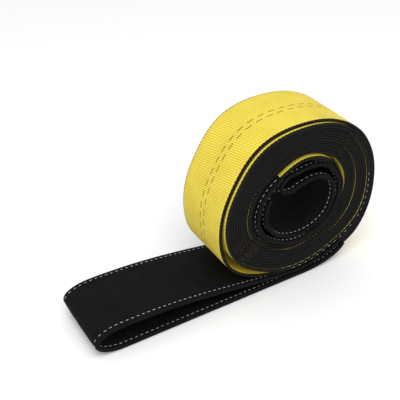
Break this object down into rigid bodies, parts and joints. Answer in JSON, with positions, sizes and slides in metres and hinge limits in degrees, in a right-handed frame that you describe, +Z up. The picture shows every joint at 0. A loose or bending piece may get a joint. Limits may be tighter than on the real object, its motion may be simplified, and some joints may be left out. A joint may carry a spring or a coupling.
{
  "type": "lifting sling",
  "caption": "Flat yellow webbing lifting sling with a black sleeved eye at each end, rolled up and lying on its outer eye.",
  "frame": {"origin": "on the floor, under the middle of the roll, midway across the outer eye's webbing", "axes": "+Z up, +X from the outer eye's tip towards the roll, +Y across the webbing, away from the end that shows the roll's turns in the picture"},
  "size_m": [0.3452, 0.0856, 0.2017],
  "materials": {
    "webbing": "woven yellow polyester webbing with black edges",
    "sleeve_cloth": "black woven wear sleeve with white stitching"
  },
  "bodies": {
    "root": {"webbing": "webbing", "outer_eye_sleeve": "sleeve_cloth", "inner_eye_sleeve": "sleeve_cloth"}
  },
  "joints": []
}
